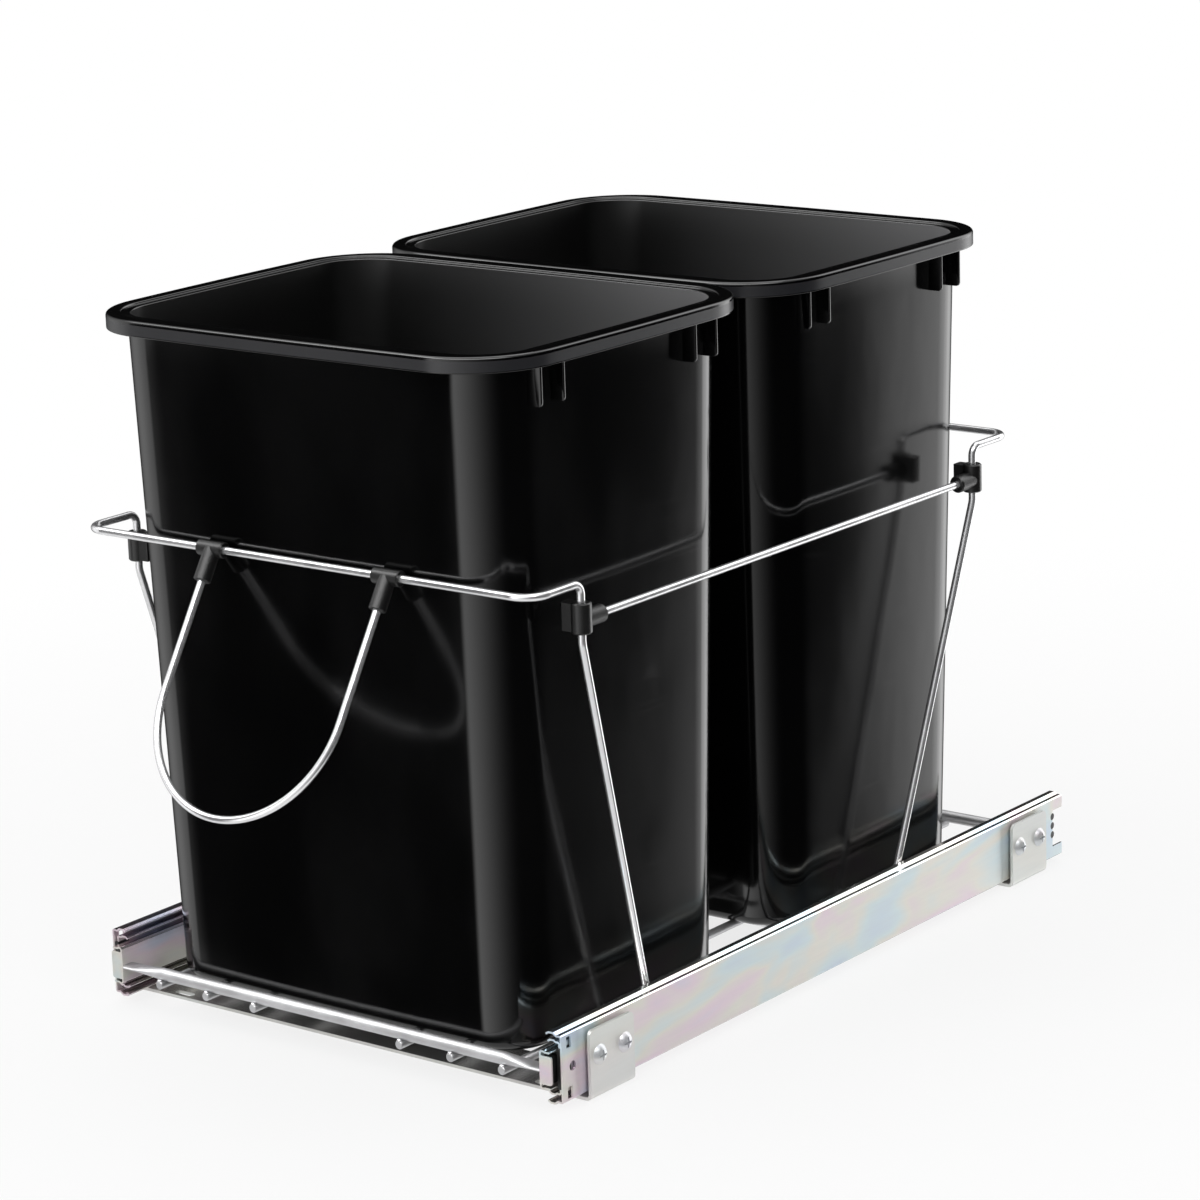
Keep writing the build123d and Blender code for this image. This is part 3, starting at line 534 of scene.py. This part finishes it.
def bright_plate(name, tone_low, tone_high, roughness):
    material, tree, skin = new_material(name)
    surface = place_group(tree, uneven_group, Cloud_Scale=30.0, Grain_Scale=700.0)
    tree.links.new(mixed(tree, surface["Cloud"], tone_low, tone_high), skin.inputs["Base Color"])
    skin.inputs["Metallic"].default_value = 0.82
    set_roughness(tree, skin, surface["Cloud"], roughness, roughness + 0.08)
    set_bump(tree, skin, surface["Cloud"], PLATE_UNEVENNESS)
    return material


chrome_material = bright_plate(
    "chrome_wire", colour(0.72, 0.72, 0.735), colour(0.82, 0.82, 0.83), roughness=0.16)
bar_material = bright_plate(
    "plated_bar", colour(0.50, 0.50, 0.51), colour(0.60, 0.60, 0.61), roughness=0.4)
print("materials", chrome_material.name, bar_material.name)

# %% [markdown]
# The slide members are rolled from bright zinc-plated strip. Their upright faces are soft in their
# reflections, with the rolling direction along the slide, and the film on them gives the rainbow clouds.
# Their level faces are bright and smooth, because the balls and the tools have run on them. The straps
# are a plainer, warmer plate, which stays bright only on its level middle between the slides.

# %% Material: zinc plate
PLATE_METALLIC = 0.52
ROLLED_STRETCH = (1.0, 0.06, 1.0)
ROLLED_DEPTH = 0.04 * MM
GRAIN_SHARE = 0.25
GRAIN_TONE = grey(0.55)
LEVEL_SHARE, UPRIGHT_SHARE = 0.6, 0.3
MIDDLE_END, SIDE_START = 160.0 * MM, 170.0 * MM


def zinc_plate(name, metal, tint, roughness, cloud_scale=9.0):
    material, tree, skin = new_material(name)
    surface = place_group(tree, uneven_group, Cloud_Scale=18.0, Grain_Scale=500.0, Stretch=ROLLED_STRETCH)
    film = place_group(tree, tint_group, Metal=metal, Strength=tint, Cloud_Scale=cloud_scale)
    marks = place_group(tree, scratch_group, Scale=45.0, Amount=0.6)
    tone = mixed(tree, product(tree, surface["Grain"], GRAIN_SHARE), film["Color"], GRAIN_TONE)
    tree.links.new(tone, skin.inputs["Base Color"])
    skin.inputs["Metallic"].default_value = PLATE_METALLIC
    smooth, dull = roughness - 0.04, roughness + 0.06
    set_roughness(tree, skin, surface["Cloud"], smooth, dull, marks["Scratches"], dulling=0.12)
    set_bump(tree, skin, surface["Grain"], ROLLED_DEPTH)
    return material


def polish_flats(material, roughness, metallic, middle_only=False):
    """Makes the level faces of a plate bright and smooth, everywhere or only between the slides."""
    tree = material.node_tree
    skin = skin_of(material)
    facing = add_node(tree, "ShaderNodeNewGeometry").outputs["Normal"]
    level = maths(tree, "ABSOLUTE", axis(tree, facing, "Z"))
    dull_share = ramp_between(tree, level, LEVEL_SHARE, UPRIGHT_SHARE)
    if middle_only:
        place = add_node(tree, "ShaderNodeTexCoord").outputs["Object"]
        across = maths(tree, "ABSOLUTE", axis(tree, place, "X"))
        dull_share = maths(tree, "MAXIMUM", dull_share, ramp_between(tree, across, MIDDLE_END, SIDE_START))
    dull = skin.inputs["Roughness"].links[0].from_socket
    both = add_node(tree, "ShaderNodeMix", {0: dull_share, 2: roughness, 3: dull}).outputs[0]
    tree.links.new(both, skin.inputs["Roughness"])
    metal_share = ramp_between(tree, dull_share, 0.0, 1.0, metallic, PLATE_METALLIC)
    tree.links.new(metal_share, skin.inputs["Metallic"])


slide_material = zinc_plate(
    "slide_zinc", colour(0.79, 0.79, 0.80), tint=0.85, roughness=0.33, cloud_scale=15.0)
strap_material = zinc_plate("strap_zinc", colour(0.76, 0.76, 0.73), tint=0.12, roughness=0.42)
polish_flats(slide_material, roughness=0.14, metallic=0.95)
polish_flats(strap_material, roughness=0.2, metallic=0.82, middle_only=True)
screw_material = zinc_plate(
    "screw_zinc", colour(0.70, 0.70, 0.71), tint=0.2, roughness=0.3, cloud_scale=60.0)
print("materials", slide_material.name, strap_material.name, screw_material.name)

# %% [markdown]
# Steel balls are ground and polished, so they are the smoothest metal here. They show only through
# the ends of the slides, with a thin smear of grease that dulls them in places.

# %% Material: polished balls


def polished_balls():
    material, tree, skin = new_material("polished_balls")
    surface = place_group(tree, uneven_group, Cloud_Scale=260.0, Grain_Scale=1500.0)
    tree.links.new(mixed(tree, surface["Cloud"], grey(0.62), grey(0.7)), skin.inputs["Base Color"])
    skin.inputs["Metallic"].default_value = 1.0
    tree.links.new(ramp_between(tree, surface["Cloud"], 0.3, 1.0, 0.08, 0.28), skin.inputs["Roughness"])
    return material


ball_material = polished_balls()
print("material", ball_material.name)

# %% [markdown]
# The solids that stay get their finish here. Their meshes are left as they are: only the materials in
# their slots change. The first row whose words start a solid's name gives its finish, and a solid
# without a row is one of the chrome wires.

# %% Finish of the solids that stay
FINISH_BY_START = (
    ("strap_screws", screw_material), ("strap_sleeves", strap_material),
    ("front_strap", strap_material), ("rear_strap", strap_material),
    ("rear_bumper", stop_material), ("front_stop", stop_material), ("release_lever", stop_material),
    ("outer_balls", ball_material), ("inner_balls", ball_material),
    ("outer_", slide_material), ("middle_", slide_material), ("inner_", slide_material),
    ("front_clamp", clamp_material), ("rear_clamp", clamp_material), ("handle_tee", clamp_material),
    ("front_bin", bin_material), ("rear_bin", bin_material),
    ("front_crossbar", bar_material), ("rear_crossbar", bar_material), ("base_wires", bar_material),
)


def finish_for(name):
    for start, material in FINISH_BY_START:
        if name.startswith(start):
            return material
    return chrome_material


for name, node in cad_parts.items():
    node.data.materials.clear()
    node.data.materials.append(finish_for(name))
print(len(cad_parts), "solids have a finish")

# %% [markdown]
# Each bin is one moulded shell: tapered walls with large round corners, a rim that turns outward and
# down, and pairs of ribs under the rim. Its gloss would show any flat facet, so the shell is built again
# as closed rings of many points. A ring is a rounded rectangle whose sides bow out a little, drawn
# with four corner arcs and four long side arcs that meet without a kink. A quarter of it is worked out
# and the rest is mirrored. A corner arc touches both side arcs from inside, so its centre is where two
# circles cross: one round each side arc's centre, smaller than that arc by the corner's radius.

# %% Outline of a bin at one height
SIDE_STEPS = 12
CORNER_STEPS = 16


def bowed_ring(half_x, half_y, corner, bow):
    """Points round a rounded rectangle with bowed sides, from the right side's middle and to the left."""
    radius_x = (half_y**2 + bow**2) / (2 * bow)
    radius_y = (half_x**2 + bow**2) / (2 * bow)
    centre_x, centre_y = half_x - radius_x, half_y - radius_y
    reach_x, reach_y = radius_x - corner, radius_y - corner
    apart = math.hypot(centre_x, centre_y)
    along = (reach_x**2 - reach_y**2 + apart**2) / (2 * apart)
    across = math.sqrt(reach_x**2 - along**2)
    unit_x, unit_y = -centre_x / apart, centre_y / apart
    corner_x = centre_x + along * unit_x - across * unit_y
    corner_y = along * unit_y + across * unit_x
    start = math.atan2(corner_y, corner_x - centre_x)
    end = math.atan2(corner_y - centre_y, corner_x)
    quarter = []
    for i in range(SIDE_STEPS):
        turn = start * i / SIDE_STEPS
        quarter.append((centre_x + radius_x * math.cos(turn), radius_x * math.sin(turn)))
    for i in range(CORNER_STEPS):
        turn = start + (end - start) * i / CORNER_STEPS
        quarter.append((corner_x + corner * math.cos(turn), corner_y + corner * math.sin(turn)))
    for i in range(SIDE_STEPS):
        turn = end + (math.pi / 2 - end) * i / SIDE_STEPS
        quarter.append((radius_y * math.cos(turn), centre_y + radius_y * math.sin(turn)))
    ring = list(quarter)
    ring += [(-x, y) for x, y in reversed(quarter[1:])]
    ring += [(-x, -y) for x, y in quarter]
    ring += [(x, -y) for x, y in reversed(quarter[1:])]
    return ring


print(2 * SIDE_STEPS + CORNER_STEPS, "points in a quarter of a ring")

# %% [markdown]
# The sizes of a bin come from its box in the frame and from a few lengths of its own: the wall, the
# taper, the rim. The bottom is narrower than the top, so that the bins nest and come out of their tool.

# %% Sizes of a bin
WALL = 2.2 * MM
FLOOR_SHEET = 2.6 * MM
BOTTOM_HALF = (143.5 * MM, 106.0 * MM)
BODY_TOP_HALF = (152.0 * MM, 118.0 * MM)
BOTTOM_CORNER, BODY_TOP_CORNER = 31.0 * MM, 34.0 * MM
BODY_BOW, RIM_BOW = 1.8 * MM, 2.8 * MM
FOOT_ROUND = 7.0 * MM
RIM_CORNER = 53.0 * MM
RIM_BAND = 9.8 * MM
RIM_ROUND = 2.0 * MM
RIM_LIP = 0.5 * MM
STEP_WIDTH, STEP_DEPTH = 6.0 * MM, 1.2 * MM
STEP_ROUND = 0.9 * MM
LEDGE_ROUND = 0.8 * MM
LEDGE_INSETS = (0.15 * MM, 0.8 * MM)
UNDER_ROUND = 1.0 * MM
BIN_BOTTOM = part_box("front_bin")[0].z
rim_low, rim_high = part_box("front_bin_rim")
BIN_TOP = rim_high.z
RIM_HALF = ((rim_high.x - rim_low.x) / 2, (rim_high.y - rim_low.y) / 2)
print("bin", [round(v / MM, 1) for v in (BIN_BOTTOM, BIN_TOP, *RIM_HALF)], "mm")


def body_ring(height, inset):
    share = (height - BIN_BOTTOM) / (BIN_TOP - BIN_BOTTOM)
    half = [low + (high - low) * share - inset for low, high in zip(BOTTOM_HALF, BODY_TOP_HALF)]
    corner = BOTTOM_CORNER + (BODY_TOP_CORNER - BOTTOM_CORNER) * share - inset
    return [(x, y, height) for x, y in bowed_ring(*half, corner, BODY_BOW)]


def rim_ring(height, inset):
    ring = bowed_ring(RIM_HALF[0] - inset, RIM_HALF[1] - inset, RIM_CORNER - inset, RIM_BOW)
    return [(x, y, height) for x, y in ring]


# %% [markdown]
# The shell is a list of rings from the middle of the underside, up the outside, round the rim and down
# the inside. Rounded edges are a few rings along an arc. Small roundings are what makes a moulded edge
# catch the light as a thin bright line. The first stretch has the flat underside, the rounded foot, the
# tapered wall and the small fillet under the rim.

# %% Rings up the outside
FLAT_SHARES = (0.25, 0.6, 0.9)
FOOT_RINGS = 8
WALL_RINGS = 18
FILLET_RINGS = 4


def arc(steps, from_angle, to_angle):
    """Turns in radians along an arc given in degrees, both ends among them."""
    return [math.radians(from_angle + (to_angle - from_angle) * i / steps) for i in range(steps + 1)]


def shrunk(ring, share):
    return [(x * share, y * share, z) for x, y, z in ring]


def outside_rings():
    flat = body_ring(BIN_BOTTOM, FOOT_ROUND)
    rings = [shrunk(flat, share) for share in FLAT_SHARES]
    for turn in arc(FOOT_RINGS, -90, 0):
        inset = FOOT_ROUND * (1 - math.cos(turn))
        rings.append(body_ring(BIN_BOTTOM + FOOT_ROUND * (1 + math.sin(turn)), inset))
    low, high = BIN_BOTTOM + FOOT_ROUND, BIN_TOP - STEP_DEPTH - WALL - UNDER_ROUND
    for i in range(1, WALL_RINGS + 1):
        rings.append(body_ring(low + (high - low) * i / WALL_RINGS, 0.0))
    for turn in arc(FILLET_RINGS, 0, 90)[1:]:
        rings.append(body_ring(high + UNDER_ROUND * math.sin(turn), UNDER_ROUND * (math.cos(turn) - 1)))
    return rings


walls = outside_rings()
print("rings up the outside", len(walls))

# %% [markdown]
# The rim turns outward and its band hangs down round the edge, with a rounded lip below and a rounded
# edge above. Behind the flat top a small step goes down to a narrow ledge, and from there the wall
# goes down. Step and ledge are what draws the double line round the opening.

# %% Rings of the rim
LIP_RINGS, EDGE_RINGS = 8, 8
STEP_RINGS, LEDGE_RINGS = 4, 5


def levelled(ring, height):
    return [(x, y, height) for x, y, z in ring]


def rim_rings():
    band_low = BIN_TOP - RIM_BAND
    under = BIN_TOP - STEP_DEPTH - WALL
    rings = [rim_ring(under, WALL + RIM_LIP), rim_ring(under - RIM_LIP, WALL)]
    for turn in arc(LIP_RINGS, 180, 360):
        inset = WALL / 2 - WALL / 2 * math.cos(turn)
        rings.append(rim_ring(band_low + RIM_LIP + RIM_LIP * math.sin(turn), inset))
    rings.append(rim_ring(band_low + 2 * RIM_LIP, 0.0))
    rings.append(rim_ring(BIN_TOP - RIM_ROUND - RIM_LIP, 0.0))
    for turn in arc(EDGE_RINGS, 0, 90):
        inset = RIM_ROUND * (1 - math.cos(turn))
        rings.append(rim_ring(BIN_TOP - RIM_ROUND * (1 - math.sin(turn)), inset))
    return rings


def rim_top_rings():
    """The middle of the flat top, the small step, the ledge and its rounded edge."""
    step = WALL - STEP_WIDTH
    top = zip(rim_ring(BIN_TOP, RIM_ROUND), body_ring(BIN_TOP, step))
    rings = [[((a[0] + b[0]) / 2, (a[1] + b[1]) / 2, BIN_TOP) for a, b in top]]
    for turn in arc(STEP_RINGS, 90, 0):
        ring = body_ring(BIN_TOP, step - STEP_ROUND * (1 - math.cos(turn)))
        rings.append(levelled(ring, BIN_TOP - STEP_ROUND * (1 - math.sin(turn))))
    ledge = BIN_TOP - STEP_DEPTH
    rings += [body_ring(ledge, step + inset) for inset in LEDGE_INSETS]
    for turn in arc(LEDGE_RINGS, 90, 0):
        ring = body_ring(ledge, WALL - LEDGE_ROUND * (1 - math.cos(turn)))
        rings.append(levelled(ring, ledge - LEDGE_ROUND * (1 - math.sin(turn))))
    return rings


rim, rim_top = rim_rings(), rim_top_rings()
print("rings of the rim", len(rim), "and of its top", len(rim_top))

# %% [markdown]
# The inside follows the outside at the thickness of the wall, and the floor of the bin is a little
# thicker than its walls. The list ends in the middle of the floor.

# %% Rings down the inside
FOOT_INSIDE_RINGS = 6


def inside_rings():
    round_in = FOOT_ROUND - WALL
    low = BIN_BOTTOM + FLOOR_SHEET + round_in
    high = BIN_TOP - STEP_DEPTH - LEDGE_ROUND
    rings = [body_ring(high + (low - high) * i / WALL_RINGS, WALL) for i in range(1, WALL_RINGS + 1)]
    for turn in arc(FOOT_INSIDE_RINGS, 0, -90)[1:]:
        inset = WALL + round_in * (1 - math.cos(turn))
        rings.append(body_ring(low + round_in * math.sin(turn), inset))
    flat = body_ring(BIN_BOTTOM + FLOOR_SHEET, FOOT_ROUND)
    return rings + [shrunk(flat, share) for share in reversed(FLAT_SHARES)]


inside = inside_rings()
print("rings down the inside", len(inside))

# %% [markdown]
# The ribs are thin plates that stiffen the turned-down rim. Each has a rounded lower corner and softened
# edges, and is sunk a little into the wall that it grows out of.

# %% Ribs of a bin
RIB_PLACES = (64.0 * MM, 85.0 * MM)
RIB_THICK = 2.0 * MM
RIB_OUT = 160.5 * MM
RIB_LENGTH = 30.5 * MM
RIB_CORNER = 2.5 * MM
RIB_CORNER_STEPS = 6
RIB_SOFT = 0.35 * MM
SHARP_ANGLE = 1.0


def rib_profile():
    """The rib's outline as seen from the front, as distances outward and heights."""
    top = BIN_TOP - WALL - STEP_DEPTH
    low = top - RIB_LENGTH
    root = body_ring(low, WALL / 2)[0][0]
    corner_x, corner_z = RIB_OUT - RIB_CORNER, low + RIB_CORNER
    rounded = [(corner_x + RIB_CORNER * math.cos(turn), corner_z + RIB_CORNER * math.sin(turn))
               for turn in arc(RIB_CORNER_STEPS, -90, 0)]
    return [(root, top), (root, low), *rounded, (RIB_OUT, top)]


def add_rib(mesh, side, place):
    profile = rib_profile()
    near, far = [[mesh.verts.new((side * x, place + offset, z)) for x, z in profile]
                 for offset in (-RIB_THICK / 2, RIB_THICK / 2)]
    made = [mesh.faces.new(near), mesh.faces.new(list(reversed(far)))]
    count = len(profile)
    for i in range(count):
        j = (i + 1) % count
        made.append(mesh.faces.new((near[j], near[i], far[i], far[j])))
    bmesh.ops.recalc_face_normals(mesh, faces=made)
    edges = {edge for face in made for edge in face.edges if edge.calc_face_angle(0) > SHARP_ANGLE}
    bmesh.ops.bevel(mesh, geom=list(edges), offset=RIB_SOFT, segments=2, profile=0.5, affect="EDGES")


print("rib outline", len(rib_profile()), "points")

# %% [markdown]
# Now the rings are joined by quads into one closed skin, the ribs are added, and the faces are shaded
# smooth. The upright band of the rim and the inside get slots of their own for their duller finish. The
# piece takes the place of both plain solids of the bin and rides on the same body.

# %% Build the bins
# The upright band starts after two rings under the rim and the rings of the lip, both ends counted
RIM_BAND_RING = len(walls) + 2 + LIP_RINGS + 1
# The dull inside starts in the rounded edge of the ledge, two rings before its end
INSIDE_RING = len(walls) + len(rim) + len(rim_top) - 2
GLOSS_SLOT, INSIDE_SLOT, RIM_SLOT = 0, 1, 2


def finished_object(name, mesh, materials, body):
    data = bpy.data.meshes.new(name)
    mesh.to_mesh(data)
    mesh.free()
    for face in data.polygons:
        face.use_smooth = True
    for material in materials:
        data.materials.append(material)
    piece = bpy.data.objects.new(name, data)
    bpy.context.scene.collection.objects.link(piece)
    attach(piece, body)
    return piece


def slot_for(number):
    if number >= INSIDE_RING:
        return INSIDE_SLOT
    return RIM_SLOT if number == RIM_BAND_RING else GLOSS_SLOT


def bridge(mesh, rings):
    """Joins closed rings of points with quads, closes both ends, and gives each face its slot."""
    rows = [[mesh.verts.new(point) for point in ring] for ring in rings]
    count = len(rows[0])
    for number, (first, second) in enumerate(zip(rows, rows[1:])):
        for i in range(count):
            j = (i + 1) % count
            face = mesh.faces.new((first[i], first[j], second[j], second[i]))
            face.material_index = slot_for(number)
    mesh.faces.new(list(reversed(rows[0])))
    mesh.faces.new(rows[-1]).material_index = INSIDE_SLOT


def build_bin(node, body):
    low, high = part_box(node)
    mesh = bmesh.new()
    bridge(mesh, walls + rim + rim_top + inside)
    bmesh.ops.recalc_face_normals(mesh, faces=mesh.faces[:])
    for side in (-1, 1):
        for place in RIB_PLACES:
            for end in (-1, 1):
                add_rib(mesh, side, end * place)
    bmesh.ops.translate(mesh, verts=mesh.verts[:], vec=(0, (low.y + high.y) / 2, 0))
    materials = (bin_material, inside_material, rim_material)
    piece = finished_object(node + "_shell", mesh, materials, body)
    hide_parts(node, node + "_rim")
    return piece


bins = [build_bin("front_bin", "front_bin_body"), build_bin("rear_bin", "rear_bin_body")]
print([(piece.name, len(piece.data.polygons)) for piece in bins])

# %% [markdown]
# Where a wire of the base crosses a bar it is spot-welded, and a little metal is squeezed out and plated
# over. Each bead is a small lump, uneven on purpose, that sits in the corner between the two rods: a
# larger one on the outer side of the bar and a smaller one on its inner side.

# %% Weld beads
BASE_WIRE_PLACES = (59.0 * MM, 98.5 * MM, 138.0 * MM)
# Radius, distance from the bar's middle, depth under the wires' top, and how far the noise moves on
OUTER_BEAD = (1.5 * MM, 3.6 * MM, 0.1 * MM, 1.3)
INNER_BEAD = (1.2 * MM, -3.7 * MM, 0.3 * MM, 2.1)
BEAD_SHAPE = (1.15, 0.9, 0.8)
LUMP_SHARE = 0.22
LUMP_SCALE = 1.7


def add_bead(mesh, centre, radius, shift):
    made = bmesh.ops.create_icosphere(mesh, subdivisions=3, radius=1.0)["verts"]
    for vertex in made:
        way = vertex.co.normalized()
        lump = 1.0 + LUMP_SHARE * noise.noise(way * LUMP_SCALE + Vector((shift, 0, 0)))
        shaped = Vector([value * share for value, share in zip(way, BEAD_SHAPE)])
        vertex.co = Vector(centre) + shaped * radius * lump


def build_beads():
    mesh = bmesh.new()
    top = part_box("base_wires")[1].z
    wires = [x * side for side in (-1, 1) for x in BASE_WIRE_PLACES]
    number = 0
    for node, end in (("front_crossbar", -1), ("rear_crossbar", 1)):
        bar_low, bar_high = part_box(node)
        bar_middle = (bar_low.y + bar_high.y) / 2
        for x in wires:
            number += 1
            for radius, away, depth, step in (OUTER_BEAD, INNER_BEAD):
                add_bead(mesh, (x, bar_middle + end * away, top - depth), radius, number * step)
    return finished_object("weld_beads", mesh, [chrome_material], "carriage")


beads = build_beads()
print("weld beads", len(beads.data.polygons), "faces")

# %% [markdown]
# Last, the look is fixed to plain display colours.

# %% Finish
bpy.context.scene.view_settings.view_transform = "Standard"
